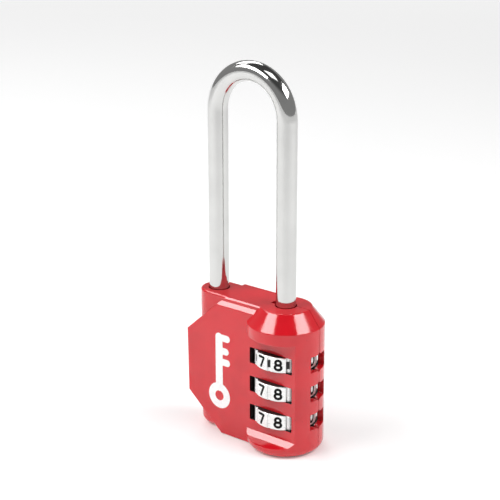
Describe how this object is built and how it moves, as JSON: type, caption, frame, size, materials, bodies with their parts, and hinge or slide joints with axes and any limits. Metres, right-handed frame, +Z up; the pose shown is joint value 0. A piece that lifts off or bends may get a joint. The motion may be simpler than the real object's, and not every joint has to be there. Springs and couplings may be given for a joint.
{
  "type": "combination padlock",
  "caption": "Long-shackle combination padlock: painted die-cast body, dials in windows on the long leg's axis, plated steel shackle that lifts when the digits line up.",
  "frame": {"origin": "on the dial axis, at the flat underside of the body", "axes": "+Z up along the dial axis and the shackle's long leg; -Y is the front with the dial windows; the short leg stands towards -X"},
  "size_m": [0.0367, 0.0194, 0.0959],
  "materials": {
    "casing_paint": "gloss red enamel on zinc die-casting",
    "shackle_steel": "bright plated steel rod",
    "dial_metal": "silvery plated facets with black painted digits and dark end faces",
    "sleeve_brass": "turned brass",
    "spring_steel": "spring steel wire and strip",
    "pin_steel": "ground steel"
  },
  "bodies": {
    "casing": {"front_casing": "casing_paint", "rear_casing": "casing_paint", "locating_pins": "pin_steel", "detent_leaf_top": "spring_steel", "detent_leaf_middle": "spring_steel", "detent_leaf_bottom": "spring_steel", "sleeve_spring": "spring_steel", "thrust_washer": "pin_steel", "lift_spring": "spring_steel"},
    "shackle": {"shackle": "shackle_steel", "lug_pin_top": "pin_steel", "lug_pin_middle": "pin_steel", "lug_pin_bottom": "pin_steel", "lift_spring_cap": "pin_steel"},
    "dial_top": {"dial_top": "dial_metal", "clutch_sleeve_top": "sleeve_brass"},
    "dial_middle": {"dial_middle": "dial_metal", "clutch_sleeve_middle": "sleeve_brass"},
    "dial_bottom": {"dial_bottom": "dial_metal", "clutch_sleeve_bottom": "sleeve_brass"}
  },
  "joints": [
    {"name": "shackle_lift", "type": "slide", "parent": "casing", "child": "shackle", "axis": [0, 0, 1], "range_m": [0, 0.00762], "deforming": ["lift_spring"]},
    {"name": "dial_top_turn", "type": "hinge", "parent": "casing", "child": "dial_top", "pos_m": [0, 0, 0.02415], "axis": [0, 0, 1], "continuous": true, "deforming": ["detent_leaf_top"]},
    {"name": "dial_middle_turn", "type": "hinge", "parent": "casing", "child": "dial_middle", "pos_m": [0, 0, 0.01653], "axis": [0, 0, 1], "continuous": true, "deforming": ["detent_leaf_middle"]},
    {"name": "dial_bottom_turn", "type": "hinge", "parent": "casing", "child": "dial_bottom", "pos_m": [0, 0, 0.00891], "axis": [0, 0, 1], "continuous": true, "deforming": ["detent_leaf_bottom"]}
  ]
}
